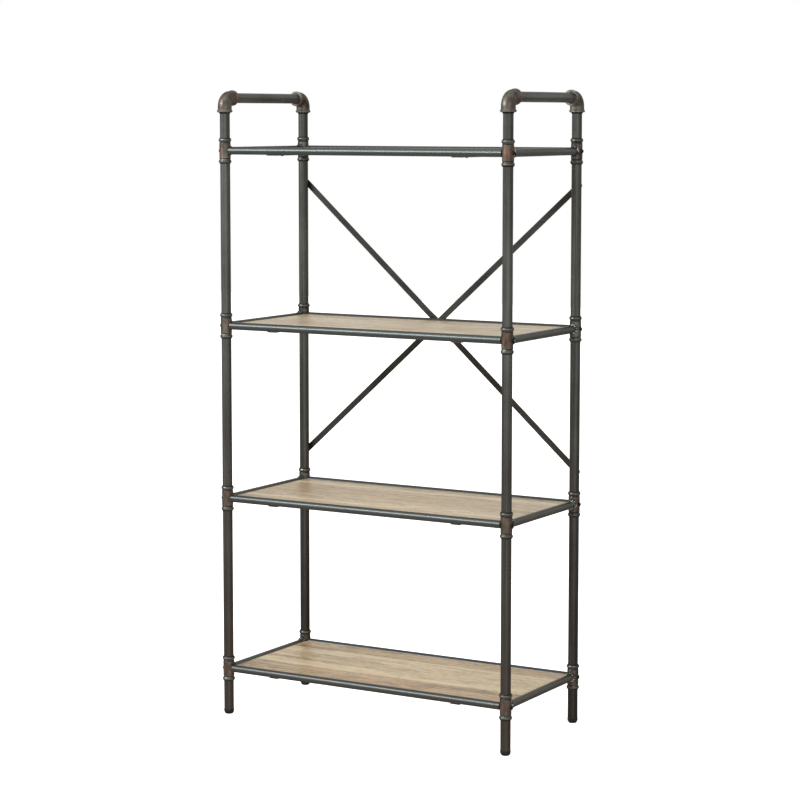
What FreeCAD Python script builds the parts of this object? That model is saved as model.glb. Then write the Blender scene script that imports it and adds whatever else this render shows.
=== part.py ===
import FreeCAD, Part
import os
import math
import Sketcher

# Free-standing bookshelf in a frame of round steel tube, dressed as plumbing.
# X runs to the right along the shelves, Y to the back and Z up. The origin is on the floor,
# in the middle of the four posts. All lengths are in millimetres.

# Driving sizes, one cell each
SIZES = {
    # Layout of the frame, from tube axis to tube axis
    "post_spacing_x": 800,
    "post_spacing_y": 361,
    "bottom_shelf_height": 118,
    "shelf_pitch": 439,
    "elbow_rise": 95,
    # Tube of the posts and of the handle pipes
    "post_diameter": 25,
    "post_wall": 1.5,
    # Plastic glide in the foot of each post
    "glide_height": 12,
    "glide_rim_height": 3,
    "glide_rim_lip": 0.5,
    "glide_base_diameter": 18.5,
    "glide_side_radius": 12,
    "glide_plug_length": 20,
    "glide_plug_chamfer": 1.5,
    "glide_plug_wall": 3,
    "plug_clearance": 0.1,
    # Cast coupling round the post at each shelf
    "coupling_height": 64,
    "coupling_wall": 1.65,
    "bead_height": 1.75,
    "bead_width": 4,
    "bead_taper": 3.5,
    "bead_flare": 4,
    "bead_side_radius": 9,
    "end_lip": 0.8,
    "groove_width": 1.8,
    "groove_depth": 0.8,
    "fitting_clearance": 0.1,
    # Cast elbow on top of each post
    "elbow_wall": 4.9,
    "elbow_bend_radius": 22,
    "elbow_straight": 14,
    "elbow_rim_height": 2,
    "elbow_rim_width": 6,
    "elbow_rim_radius": 1.6,
    "elbow_neck_wall": 1.9,
    "elbow_neck_length": 3,
    "elbow_seat_width": 2.6,
    # Tube of the shelf rails
    "rail_diameter": 19,
    "rail_wall": 1.5,
    "weld_leg": 3,
    # Threaded insert in each end of the long rails
    "insert_length": 20,
    "insert_inset": 0.5,
    # Button-head bolts
    "bolt_diameter": 6,
    "bolt_head_diameter": 10.5,
    "bolt_head_height": 3.3,
    "bolt_head_edge": 0.5,
    "bolt_head_flat_diameter": 5.4,
    "bolt_dome_radius": 6,
    "bolt_tip_chamfer": 0.8,
    "socket_across_flats": 4,
    "socket_depth": 2.1,
    "bolt_hole_clearance": 0.25,
    "thread_clearance": 0.05,
    "rail_bolt_length": 45,
    "brace_bolt_length": 12,
    # Boards and the straps that carry them
    "board_thickness": 14,
    "board_gap": 1,
    "board_edge_radius": 0.8,
    "strap_width": 25,
    "strap_thickness": 2,
    "strap_spacing": 524,
    "strap_overhang": 2,
    # Screws from below through the straps into the boards
    "screw_diameter": 3.5,
    "screw_length": 12,
    "screw_tip_length": 2.5,
    "screw_head_diameter": 7,
    "screw_head_height": 2.2,
    "screw_head_radius": 5,
    "screw_setback": 40,
    # Crossed flat bars behind the rear posts
    "brace_width": 15,
    "brace_thickness": 2.5,
    "brace_bolt_above_coupling": 48,
    "brace_bolt_below_coupling": 53,
    "brace_end_margin": 8,
    "brace_end_flat": 1,
    "joggle_half_flat": 14,
    "joggle_run": 25,
    "brace_nut_diameter": 10,
    "brace_nut_length": 6,
}
SHELVES = 4
# How far the weld stands out, of the width that the coupling leaves beside the side rail
WELD_SHARE = 0.53

doc = FreeCAD.newDocument("bookshelf")
sheet = doc.addObject("Spreadsheet::Sheet", "Sizes")
for row, (alias, millimetres) in enumerate(SIZES.items(), start=1):
    sheet.set("A%d" % row, alias)
    sheet.set("B%d" % row, str(millimetres))
    sheet.setAlias("B%d" % row, alias)
doc.recompute()


# Lengths that know their formula


class Length:
    """A number together with the formula over the sheet's cells that gives it."""

    def __init__(self, number, formula):
        self.number = number
        self.formula = formula

    def __add__(self, other):
        return combine(self, "+", other, self.number + number_of(other))

    def __sub__(self, other):
        return combine(self, "-", other, self.number - number_of(other))

    def __mul__(self, other):
        return combine(self, "*", other, self.number * number_of(other))

    def __truediv__(self, other):
        return combine(self, "/", other, self.number / number_of(other))

    def __neg__(self):
        return Length(-self.number, "(-1 * %s)" % self.formula)


def number_of(value):
    return value.number if isinstance(value, Length) else value


def formula_of(value):
    return value.formula if isinstance(value, Length) else repr(value)


def combine(left, sign, right, number):
    return Length(number, "(%s %s %s)" % (formula_of(left), sign, formula_of(right)))


def size(alias):
    return Length(float(sheet.get(alias)), "Sizes." + alias)


def leg(hypotenuse, other_leg):
    """The remaining side of a right-angled triangle."""
    number = math.sqrt(hypotenuse.number ** 2 - other_leg.number ** 2)
    return Length(number, "sqrt(%s ^ 2 - %s ^ 2)" % (hypotenuse.formula, other_leg.formula))


def diagonal(across, up):
    number = math.hypot(across.number, up.number)
    return Length(number, "sqrt(%s ^ 2 + %s ^ 2)" % (across.formula, up.formula))


def bind(feature, prop, value):
    """Set a property to a plain value, or bind it to a formula."""
    if isinstance(value, Length):
        feature.setExpression(prop, value.formula)
    else:
        setattr(feature, prop, value)


# Sketches


def origin_feature(body, role):
    return next(item for item in body.Origin.OriginFeatures if item.Role == role)


def add_sketch(body, name, plane, offset=None):
    """A sketch on one of the body's own origin planes, or lifted off it along its normal."""
    sketch = body.newObject("Sketcher::SketchObject", name)
    sketch.AttachmentSupport = (origin_feature(body, plane), [""])
    sketch.MapMode = "FlatFace"
    if offset is not None:
        bind(sketch, "AttachmentOffset.Base.z", offset)
    return sketch


def hold(sketch, kind, geometry, point, value):
    """Hold a point at its distance from the sketch's origin along one axis."""
    if number_of(value) == 0:
        axis = -2 if kind == "DistanceX" else -1
        sketch.addConstraint(Sketcher.Constraint("PointOnObject", geometry, point, axis))
        return
    if number_of(value) > 0:
        rule = Sketcher.Constraint(kind, -1, 1, geometry, point, number_of(value))
        formula = formula_of(value)
    else:
        rule = Sketcher.Constraint(kind, geometry, point, -1, 1, -number_of(value))
        formula = formula_of(-value)
    index = sketch.addConstraint(rule)
    sketch.setExpression("Constraints[%d]" % index, formula)


def add_circle(sketch, x, y, radius):
    centre = FreeCAD.Vector(number_of(x), number_of(y), 0)
    circle = sketch.addGeometry(Part.Circle(centre, FreeCAD.Vector(0, 0, 1), radius.number))
    hold(sketch, "DistanceX", circle, 3, x)
    hold(sketch, "DistanceY", circle, 3, y)
    index = sketch.addConstraint(Sketcher.Constraint("Radius", circle, radius.number))
    sketch.setExpression("Constraints[%d]" % index, radius.formula)


def arc_middle(start, end, radius, side):
    """The middle of the arc from start to end that bulges to the left (1) or right (-1)."""
    chord = end - start
    sagitta = radius - math.sqrt(radius ** 2 - (chord.Length / 2) ** 2)
    across = FreeCAD.Vector(-chord.y, chord.x, 0).normalize()
    return (start + end) / 2 + across * sagitta * side


def add_outline(sketch, corners):
    """A closed outline. A corner is (x, y), or (x, y, radius, side) where an arc follows it."""
    points = [FreeCAD.Vector(number_of(corner[0]), number_of(corner[1]), 0) for corner in corners]
    edges = []
    for index, corner in enumerate(corners):
        start = points[index]
        end = points[(index + 1) % len(points)]
        if len(corner) == 2:
            edges.append(sketch.addGeometry(Part.LineSegment(start, end)))
            continue
        radius, side = corner[2], corner[3]
        middle = arc_middle(start, end, radius.number, side)
        edges.append(sketch.addGeometry(Part.Arc(start, middle, end)))
    ends = []
    for edge, start in zip(edges, points):
        to_first = (sketch.getPoint(edge, 1) - start).Length
        to_second = (sketch.getPoint(edge, 2) - start).Length
        ends.append((1, 2) if to_first < to_second else (2, 1))
    for index, edge in enumerate(edges):
        following = (index + 1) % len(edges)
        sketch.addConstraint(
            Sketcher.Constraint("Coincident", edge, ends[index][1], edges[following], ends[following][0]))
    for index, corner in enumerate(corners):
        hold(sketch, "DistanceX", edges[index], ends[index][0], corner[0])
        hold(sketch, "DistanceY", edges[index], ends[index][0], corner[1])
        if len(corner) > 2:
            rule = Sketcher.Constraint("Radius", edges[index], corner[2].number)
            sketch.setExpression("Constraints[%d]" % sketch.addConstraint(rule), corner[2].formula)


# Solid features


def add_body(label, x=0, y=0, z=0, turn=None):
    """A body at a place that follows the sizes; turn is an axis and an angle in degrees."""
    body = doc.addObject("PartDesign::Body", label)
    body.Label = label
    if turn is not None:
        body.Placement = FreeCAD.Placement(FreeCAD.Vector(), FreeCAD.Rotation(turn[0], number_of(turn[1])))
        if isinstance(turn[1], Length):
            body.setExpression("Placement.Rotation.Angle", turn[1].formula)
    for axis, place in (("x", x), ("y", y), ("z", z)):
        if isinstance(place, Length):
            body.setExpression("Placement.Base." + axis, place.formula)
    return body


def pad(body, name, sketch, length, side="One side", backwards=False):
    feature = body.newObject("PartDesign::Pad", name)
    feature.Profile = sketch
    feature.SideType = side
    feature.Reversed = backwards
    bind(feature, "Length", length)
    return feature


def pocket(body, name, sketch, depth=None, side="One side", backwards=False):
    """A pocket of a given depth, or right through when no depth is given."""
    feature = body.newObject("PartDesign::Pocket", name)
    feature.Profile = sketch
    feature.SideType = side
    feature.Reversed = backwards
    if depth is None:
        feature.Type = "ThroughAll"
    else:
        bind(feature, "Length", depth)
    return feature


def revolve(body, name, sketch, axis, kind="PartDesign::Revolution", angle=360, backwards=False):
    feature = body.newObject(kind, name)
    feature.Profile = sketch
    feature.ReferenceAxis = (sketch, [axis])
    feature.Angle = angle
    feature.Reversed = backwards
    return feature


def repeat(body, name, originals, ways):
    """Copies in a row or a grid; ways holds up to two of (axis role, whole length, copies)."""
    feature = body.newObject("PartDesign::LinearPattern", name)
    feature.Originals = originals
    for (role, length, copies), suffix in zip(ways, ("", "2")):
        setattr(feature, "Direction" + suffix, (origin_feature(body, role), [""]))
        bind(feature, "Length" + suffix, length)
        setattr(feature, "Occurrences" + suffix, copies)
    body.Tip = feature
    return feature


def mirror(body, name, plane):
    """The whole body so far, with its mirror image."""
    feature = body.newObject("PartDesign::Mirrored", name)
    feature.TransformMode = "Whole shape"
    feature.MirrorPlane = (origin_feature(body, plane), [""])
    body.Tip = feature
    return feature


def straight_edges(shape, direction, test):
    """Names of the straight edges along a direction whose middle passes the test."""
    names = []
    for index, edge in enumerate(shape.Edges, start=1):
        if edge.Curve.TypeId != "Part::GeomLine":
            continue
        along = (edge.Vertexes[-1].Point - edge.Vertexes[0].Point).normalize()
        if abs(along.dot(direction)) > 0.999 and test(edge.CenterOfMass):
            names.append("Edge%d" % index)
    return names


# Places that several pieces share
half_x = size("post_spacing_x") / 2
half_y = size("post_spacing_y") / 2
post_radius = size("post_diameter") / 2
post_bore_radius = post_radius - size("post_wall")
rail_radius = size("rail_diameter") / 2
rail_bore_radius = rail_radius - size("rail_wall")
fitting_bore_radius = post_radius + size("fitting_clearance")
coupling_radius = fitting_bore_radius + size("coupling_wall")
elbow_radius = fitting_bore_radius + size("elbow_wall")
bolt_radius = size("bolt_diameter") / 2
bolt_hole_radius = bolt_radius + size("bolt_hole_clearance")
thread_radius = bolt_radius + size("thread_clearance")
shelf_span = size("shelf_pitch") * (SHELVES - 1)
shelf_heights = [size("bottom_shelf_height") + size("shelf_pitch") * level for level in range(SHELVES)]
weld_start = half_y - coupling_radius - size("weld_leg")
elbow_mouth_height = shelf_heights[-1] + size("elbow_rise")
post_top_height = elbow_mouth_height + size("elbow_straight")
strap_top_drop = rail_radius
strap_bottom_drop = rail_radius + size("strap_thickness")
coupling_reach = size("coupling_height") / 2
brace_bottom_height = shelf_heights[-3] + coupling_reach + size("brace_bolt_above_coupling")
brace_top_height = shelf_heights[-1] - coupling_reach - size("brace_bolt_below_coupling")
brace_centre_height = (brace_bottom_height + brace_top_height) / 2
brace_rise = brace_top_height - brace_bottom_height
brace_plane = half_y + post_radius

CORNERS = {
    "front_left": (-half_x, -half_y),
    "front_right": (half_x, -half_y),
    "rear_left": (-half_x, half_y),
    "rear_right": (half_x, half_y),
}


# Posts: tube from the glide to the socket of the elbow, drilled for the rail bolts


def make_post(corner):
    x, y = CORNERS[corner]
    body = add_body("post_" + corner, x, y, size("glide_height"))
    ring = add_sketch(body, "ring", "XY_Plane")
    add_circle(ring, 0, 0, post_radius)
    add_circle(ring, 0, 0, post_bore_radius)
    pad(body, "tube", ring, post_top_height - size("glide_height"))
    hole = add_sketch(body, "rail_bolt_hole", "YZ_Plane")
    add_circle(hole, 0, shelf_heights[0] - size("glide_height"), bolt_hole_radius)
    drilled = pocket(body, "rail_bolt_drilling", hole, side="Symmetric")
    repeat(body, "rail_bolt_drillings", [drilled], [("Z_Axis", shelf_span, SHELVES)])
    if corner.startswith("rear"):
        hole = add_sketch(body, "brace_bolt_hole", "XZ_Plane")
        add_circle(hole, 0, brace_bottom_height - size("glide_height"), bolt_hole_radius)
        drilled = pocket(body, "brace_bolt_drilling", hole)
        repeat(body, "brace_bolt_drillings", [drilled], [("Z_Axis", brace_rise, 2)])
    return body


# Glides: moulded plastic, a rim under the tube end and a plug inside it


def make_glide(corner):
    x, y = CORNERS[corner]
    body = add_body("glide_" + corner, x, y)
    rim = post_radius + size("glide_rim_lip")
    base = size("glide_base_diameter") / 2
    plug = post_bore_radius - size("plug_clearance")
    core = plug - size("glide_plug_wall")
    shoulder = size("glide_height")
    top = shoulder + size("glide_plug_length")
    chamfer = size("glide_plug_chamfer")
    half_section = add_sketch(body, "half_section", "XZ_Plane")
    add_outline(half_section, [
        (0, 0),
        (base, 0, size("glide_side_radius"), -1),
        (rim, shoulder - size("glide_rim_height")),
        (rim, shoulder),
        (plug, shoulder),
        (plug, top - chamfer),
        (plug - chamfer, top),
        (core, top),
        (core, shoulder),
        (0, shoulder),
    ])
    revolve(body, "moulding", half_section, "V_Axis")
    return body


# Couplings: a sleeve with a groove and a rounded bead at each end


def make_coupling(corner, level):
    x, y = CORNERS[corner]
    body = add_body("coupling_%s_%d" % (corner, level + 1), x, y, shelf_heights[level])
    end = coupling_reach
    crown = size("bead_width")
    bead = coupling_radius + size("bead_height") - crown * (1 - math.sqrt(3) / 2)
    lip = fitting_bore_radius + size("end_lip")
    bead_top = end - size("bead_taper")
    bead_bottom = bead_top - size("bead_width")
    groove_top = bead_bottom - size("bead_flare")
    groove_bottom = groove_top - size("groove_width")
    groove = coupling_radius - size("groove_depth")
    side = size("bead_side_radius")
    half_section = add_sketch(body, "half_section", "XZ_Plane")
    add_outline(half_section, [
        (fitting_bore_radius, -end),
        (lip, -end, side, -1),
        (bead, -bead_top, crown, -1),
        (bead, -bead_bottom, side, 1),
        (groove, -groove_top),
        (coupling_radius, -groove_bottom),
        (coupling_radius, groove_bottom),
        (groove, groove_top, side, 1),
        (bead, bead_bottom, crown, -1),
        (bead, bead_top, side, -1),
        (lip, end),
        (fitting_bore_radius, end),
    ])
    revolve(body, "casting", half_section, "V_Axis")
    hole = add_sketch(body, "rail_bolt_hole", "YZ_Plane")
    add_circle(hole, 0, 0, bolt_hole_radius)
    pocket(body, "rail_bolt_drilling", hole, side="Symmetric")
    return body


# Elbows: a quarter bend with a straight socket and a rim at each mouth.
# The body's own origin is the centre of the bend.


def add_elbow_mouth(body, name, points, axis_start, axis_end):
    """One mouth, turned about its own axis, from points given along that axis."""
    half_section = add_sketch(body, name + "_half_section", "YZ_Plane")
    add_outline(half_section, points)
    line = half_section.addGeometry(
        Part.LineSegment(
            FreeCAD.Vector(number_of(axis_start[0]), number_of(axis_start[1]), 0),
            FreeCAD.Vector(number_of(axis_end[0]), number_of(axis_end[1]), 0)),
        True)
    for point, place in ((1, axis_start), (2, axis_end)):
        hold(half_section, "DistanceX", line, point, place[0])
        hold(half_section, "DistanceY", line, point, place[1])
    return revolve(body, name, half_section, "Axis0")


def elbow_mouth_profile():
    """Radius and distance from the bend's end, out to the neck's end face."""
    barrel = elbow_radius
    rim = barrel + size("elbow_rim_height")
    neck = fitting_bore_radius + size("elbow_neck_wall")
    face = size("elbow_straight")
    rounding = size("elbow_rim_radius")
    rim_back = face - size("elbow_rim_width")
    neck_end = face + size("elbow_neck_length")
    return [
        (0, 0, None),
        (barrel, 0, None),
        (barrel, rim_back - rounding, None),
        (rim, rim_back + rounding, None),
        (rim, face - rounding, rounding),
        (rim - rounding, face, None),
        (neck, face, None),
        (fitting_bore_radius + size("end_lip"), neck_end, None),
        (0, neck_end, None),
    ]


def make_elbow(corner):
    x, y = CORNERS[corner]
    bend = size("elbow_bend_radius")
    front = corner.startswith("front")
    turn = None if front else (FreeCAD.Vector(0, 0, 1), 180)
    body = add_body("elbow_" + corner, x, y + bend if front else y - bend, post_top_height, turn)
    ring = add_sketch(body, "bend_section", "XY_Plane")
    add_circle(ring, 0, -bend, elbow_radius)
    revolve(body, "bend", ring, "H_Axis", angle=90, backwards=True)
    down = []
    across = []
    for radius, distance, rounding in elbow_mouth_profile():
        arc_down = () if rounding is None else (rounding, 1)
        arc_across = () if rounding is None else (rounding, -1)
        down.append((-bend - radius, -distance if number_of(distance) else 0) + arc_down)
        across.append((distance, bend + radius) + arc_across)
    straight = size("elbow_straight")
    add_elbow_mouth(body, "lower_mouth", down, (-bend, 0), (-bend, -straight))
    add_elbow_mouth(body, "level_mouth", across, (0, bend), (straight, bend))
    socket_depth = straight + size("elbow_neck_length")
    socket = add_sketch(body, "lower_socket_section", "XY_Plane")
    add_circle(socket, 0, -bend, fitting_bore_radius)
    pocket(body, "lower_socket", socket, socket_depth)
    socket = add_sketch(body, "level_socket_section", "XZ_Plane")
    add_circle(socket, 0, bend, fitting_bore_radius)
    pocket(body, "level_socket", socket, socket_depth)
    way = add_sketch(body, "waterway_section", "XY_Plane")
    add_circle(way, 0, -bend, fitting_bore_radius - size("elbow_seat_width"))
    revolve(body, "waterway", way, "H_Axis", "PartDesign::Groove", angle=90, backwards=True)
    return body


# Handle pipes: tube between the level mouths of the front and rear elbows


def make_handle_pipe(side, x):
    height = post_top_height + size("elbow_bend_radius")
    body = add_body("handle_pipe_" + side, x, 0, height)
    ring = add_sketch(body, "ring", "XZ_Plane")
    add_circle(ring, 0, 0, post_radius)
    add_circle(ring, 0, 0, post_bore_radius)
    pad(body, "tube", ring, size("post_spacing_y") - size("elbow_bend_radius") * 2, side="Symmetric")
    return body


# Long rails: tube cut square, from coupling to coupling


def make_long_rail(row, y, level):
    body = add_body("%s_rail_%d" % (row, level + 1), 0, y, shelf_heights[level])
    ring = add_sketch(body, "ring", "YZ_Plane")
    add_circle(ring, 0, 0, rail_radius)
    add_circle(ring, 0, 0, rail_bore_radius)
    pad(body, "tube", ring, size("post_spacing_x") - coupling_radius * 2, side="Symmetric")
    return body


# Side rails: tube shaped to the couplings, with the weld round each end


def make_side_rail(side, x, level):
    body = add_body("%s_rail_%d" % (side, level + 1), x, 0, shelf_heights[level])
    weld_radius = rail_radius + (coupling_radius - rail_radius) * WELD_SHARE
    end = half_y - leg(coupling_radius, weld_radius)
    half_section = add_sketch(body, "half_section", "XY_Plane")
    add_outline(half_section, [
        (rail_bore_radius, -end),
        (weld_radius, -end),
        (rail_radius, -weld_start),
        (rail_radius, weld_start),
        (weld_radius, end),
        (rail_bore_radius, end),
    ])
    revolve(body, "tube", half_section, "V_Axis")
    for name, y in (("front_saddle", -half_y), ("rear_saddle", half_y)):
        saddle = add_sketch(body, name + "_section", "XY_Plane")
        add_circle(saddle, 0, y, coupling_radius)
        pocket(body, name, saddle, side="Symmetric")
    return body


# Boards: inside the rails, on the straps, with pilot holes for the screws.
# Each corner is cut off from where the weld of the side rail starts.


def screw_places():
    """Where the screws stand in one shelf, from its middle."""
    across = size("strap_spacing") / 2
    along = half_y - rail_radius - size("board_gap") - size("screw_setback")
    return across, along


def make_board(level):
    bottom = shelf_heights[level] - strap_top_drop
    body = add_body("shelf_board_%d" % (level + 1), 0, 0, bottom)
    x = half_x - rail_radius - size("board_gap")
    y = half_y - rail_radius - size("board_gap")
    cut = y - weld_start
    outline = add_sketch(body, "outline", "XY_Plane")
    add_outline(outline, [
        (-x + cut, -y), (x - cut, -y), (x, -y + cut), (x, y - cut),
        (x - cut, y), (-x + cut, y), (-x, y - cut), (-x, -y + cut),
    ])
    board = pad(body, "board", outline, size("board_thickness"))
    doc.recompute()
    rounded = body.newObject("PartDesign::Fillet", "eased_edges")
    half_thickness = size("board_thickness").number / 2
    top_edges = [
        "Edge%d" % index for index, edge in enumerate(board.Shape.Edges, start=1)
        if min(vertex.Z for vertex in edge.Vertexes) > half_thickness
    ]
    rounded.Base = (board, top_edges)
    bind(rounded, "Radius", size("board_edge_radius"))
    across, along = screw_places()
    pilots = add_sketch(body, "pilot_holes", "XY_Plane")
    for place_x in (-across, across):
        for place_y in (-along, along):
            add_circle(pilots, place_x, place_y, size("screw_diameter") / 2 + size("thread_clearance"))
    depth = size("screw_length") - size("strap_thickness") + size("thread_clearance")
    pocket(body, "pilot_drilling", pilots, depth, backwards=True)
    return body


# Straps: flat bars under the front and rear rails, two to a shelf


def make_straps():
    across, along = screw_places()
    body = add_body("board_straps", 0, 0, shelf_heights[0] - strap_bottom_drop)
    body.AllowCompound = True
    half_width = size("strap_width") / 2
    half_length = half_y + size("strap_overhang")
    outline = add_sketch(body, "outline", "XY_Plane")
    add_outline(outline, [
        (-across - half_width, -half_length), (-across + half_width, -half_length),
        (-across + half_width, half_length), (-across - half_width, half_length),
    ])
    for place_y in (-along, along):
        add_circle(outline, -across, place_y, size("screw_diameter") / 2 + size("bolt_hole_clearance"))
    strap = pad(body, "strap", outline, size("strap_thickness"))
    repeat(body, "straps", [strap], [("Z_Axis", shelf_span, SHELVES), ("X_Axis", size("strap_spacing"), 2)])
    return body


def make_board_screws():
    across, along = screw_places()
    body = add_body("board_screws", -across, 0, shelf_heights[0] - strap_bottom_drop)
    body.AllowCompound = True
    shank = size("screw_diameter") / 2
    head = size("screw_head_diameter") / 2
    tip_start = size("screw_length") - size("screw_tip_length")
    half_section = add_sketch(body, "half_section", "YZ_Plane")
    add_outline(half_section, [
        (-along, -size("screw_head_height"), size("screw_head_radius"), -1),
        (-along + head, 0),
        (-along + shank, 0),
        (-along + shank, tip_start),
        (-along, size("screw_length")),
    ])
    line = half_section.addGeometry(
        Part.LineSegment(
            FreeCAD.Vector(-along.number, 0, 0),
            FreeCAD.Vector(-along.number, shank.number, 0)),
        True)
    for point, height in ((1, 0), (2, shank)):
        hold(half_section, "DistanceX", line, point, -along)
        hold(half_section, "DistanceY", line, point, height)
    screw = revolve(body, "screw", half_section, "Axis0")
    grid = [("Z_Axis", shelf_span, SHELVES), ("X_Axis", size("strap_spacing"), 2)]
    repeat(body, "front_screws", [screw], grid)
    mirror(body, "rear_screws", "XZ_Plane")
    return body


# Bolts and inserts of the long rails


def bolt_outline(seat, length, sign):
    """Half of a button-head bolt: distance along its axis and radius, head first."""
    head = size("bolt_head_diameter") / 2
    flat = size("bolt_head_flat_diameter") / 2
    top = seat - size("bolt_head_height") * sign
    edge = seat - size("bolt_head_edge") * sign
    tip = seat + length * sign
    chamfer = size("bolt_tip_chamfer")
    return [
        (top, 0, None),
        (top, flat, size("bolt_dome_radius")),
        (edge, head, None),
        (seat, head, None),
        (seat, bolt_radius, None),
        (tip - chamfer * sign, bolt_radius, None),
        (tip, bolt_radius - chamfer, None),
        (tip, 0, None),
    ]


def add_hexagon(sketch):
    flat = size("socket_across_flats") / 2
    corner = flat * (2 / math.sqrt(3))
    add_outline(sketch, [
        (flat, corner / 2), (0, corner), (-flat, corner / 2),
        (-flat, -corner / 2), (0, -corner), (flat, -corner / 2),
    ])


def make_rail_bolts():
    body = add_body("rail_bolts", 0, -half_y, shelf_heights[0])
    body.AllowCompound = True
    seat = -half_x - coupling_radius
    points = []
    for along, radius, dome in bolt_outline(seat, size("rail_bolt_length"), 1):
        points.append((along, radius) if dome is None else (along, radius, dome, 1))
    half_section = add_sketch(body, "half_section", "XY_Plane")
    add_outline(half_section, points)
    bolt = revolve(body, "bolt", half_section, "H_Axis")
    hexagon = add_sketch(body, "hexagon", "YZ_Plane", seat - size("bolt_head_height"))
    add_hexagon(hexagon)
    socket = pocket(body, "socket", hexagon, size("socket_depth"), backwards=True)
    finish_group(body, [bolt, socket])
    return body


def make_rail_inserts():
    body = add_body("rail_inserts", 0, -half_y, shelf_heights[0])
    body.AllowCompound = True
    start = -half_x + coupling_radius + size("insert_inset")
    end = start + size("insert_length")
    half_section = add_sketch(body, "half_section", "XY_Plane")
    outside = rail_bore_radius - size("plug_clearance")
    add_outline(half_section, [
        (start, thread_radius), (start, outside), (end, outside), (end, thread_radius),
    ])
    insert = revolve(body, "insert", half_section, "H_Axis")
    finish_group(body, [insert])
    return body


def finish_group(body, originals):
    """Repeat one front left piece at every shelf and corner."""
    grid = [("Z_Axis", shelf_span, SHELVES), ("Y_Axis", size("post_spacing_y"), 2)]
    repeat(body, "left_side", originals, grid)
    mirror(body, "right_side", "YZ_Plane")


# Braces: two flat bars with round-cornered ends; one steps back behind the other


def make_brace(label, falling):
    run = size("post_spacing_x")
    slope = Length(
        math.degrees(math.atan2(brace_rise.number, run.number)),
        "atan(%s / %s)" % (brace_rise.formula, run.formula))
    axis = FreeCAD.Vector(0, 1 if falling else -1, 0)
    body = add_body(label, 0, brace_plane, brace_centre_height, (axis, slope))
    half_span = diagonal(run, brace_rise) / 2
    end = half_span + size("brace_end_margin")
    thick = size("brace_thickness")
    profile = add_sketch(body, "edge_profile", "XY_Plane")
    if falling:
        flat = size("joggle_half_flat")
        foot = flat + size("joggle_run")
        add_outline(profile, [
            (-end, 0), (-foot, 0), (-flat, thick), (flat, thick), (foot, 0), (end, 0),
            (end, thick), (foot, thick), (flat, thick * 2),
            (-flat, thick * 2), (-foot, thick), (-end, thick),
        ])
    else:
        add_outline(profile, [(-end, 0), (end, 0), (end, thick), (-end, thick)])
    bar = pad(body, "bar", profile, size("brace_width"), side="Symmetric")
    doc.recompute()
    corners = straight_edges(
        bar.Shape, FreeCAD.Vector(0, 1, 0), lambda middle: abs(middle.x) > half_span.number)
    rounded = body.newObject("PartDesign::Fillet", "round_corners")
    rounded.Base = (bar, corners)
    bind(rounded, "Radius", size("brace_width") / 2 - size("brace_end_flat"))
    holes = add_sketch(body, "bolt_holes", "XZ_Plane")
    add_circle(holes, -half_span, 0, bolt_hole_radius)
    add_circle(holes, half_span, 0, bolt_hole_radius)
    pocket(body, "bolt_drilling", holes, side="Symmetric")
    return body


def make_brace_bolts():
    body = add_body("brace_bolts", -half_x, brace_plane, brace_bottom_height)
    body.AllowCompound = True
    seat = size("brace_thickness")
    points = []
    for along, radius, dome in bolt_outline(seat, size("brace_bolt_length"), -1):
        points.append((radius, along) if dome is None else (radius, along, dome, 1))
    half_section = add_sketch(body, "half_section", "XY_Plane")
    add_outline(half_section, points)
    bolt = revolve(body, "bolt", half_section, "V_Axis")
    hexagon = add_sketch(body, "hexagon", "XZ_Plane", -seat - size("bolt_head_height"))
    add_hexagon(hexagon)
    socket = pocket(body, "socket", hexagon, size("socket_depth"), backwards=True)
    grid = [("X_Axis", size("post_spacing_x"), 2), ("Z_Axis", brace_rise, 2)]
    repeat(body, "bolts", [bolt, socket], grid)
    return body


def make_brace_nuts():
    body = add_body("brace_nuts", -half_x, half_y, brace_bottom_height)
    body.AllowCompound = True
    outside = size("brace_nut_diameter") / 2
    face = leg(post_bore_radius, outside)
    back = face - size("brace_nut_length")
    half_section = add_sketch(body, "half_section", "XY_Plane")
    add_outline(half_section, [
        (thread_radius, back), (outside, back), (outside, face), (thread_radius, face),
    ])
    nut = revolve(body, "nut", half_section, "V_Axis")
    grid = [("X_Axis", size("post_spacing_x"), 2), ("Z_Axis", brace_rise, 2)]
    repeat(body, "nuts", [nut], grid)
    return body


def make_bookshelf():
    bodies = []
    for corner in CORNERS:
        bodies.append(make_post(corner))
        bodies.append(make_glide(corner))
        bodies.append(make_elbow(corner))
        bodies.extend(make_coupling(corner, level) for level in range(SHELVES))
    bodies.append(make_handle_pipe("left", -half_x))
    bodies.append(make_handle_pipe("right", half_x))
    for level in range(SHELVES):
        bodies.append(make_long_rail("front", -half_y, level))
        bodies.append(make_long_rail("rear", half_y, level))
        bodies.append(make_side_rail("left", -half_x, level))
        bodies.append(make_side_rail("right", half_x, level))
        bodies.append(make_board(level))
    bodies.append(make_straps())
    bodies.append(make_board_screws())
    bodies.append(make_rail_bolts())
    bodies.append(make_rail_inserts())
    bodies.append(make_brace("brace_rising", False))
    bodies.append(make_brace("brace_falling", True))
    bodies.append(make_brace_bolts())
    bodies.append(make_brace_nuts())
    doc.recompute()
    return bodies


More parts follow.
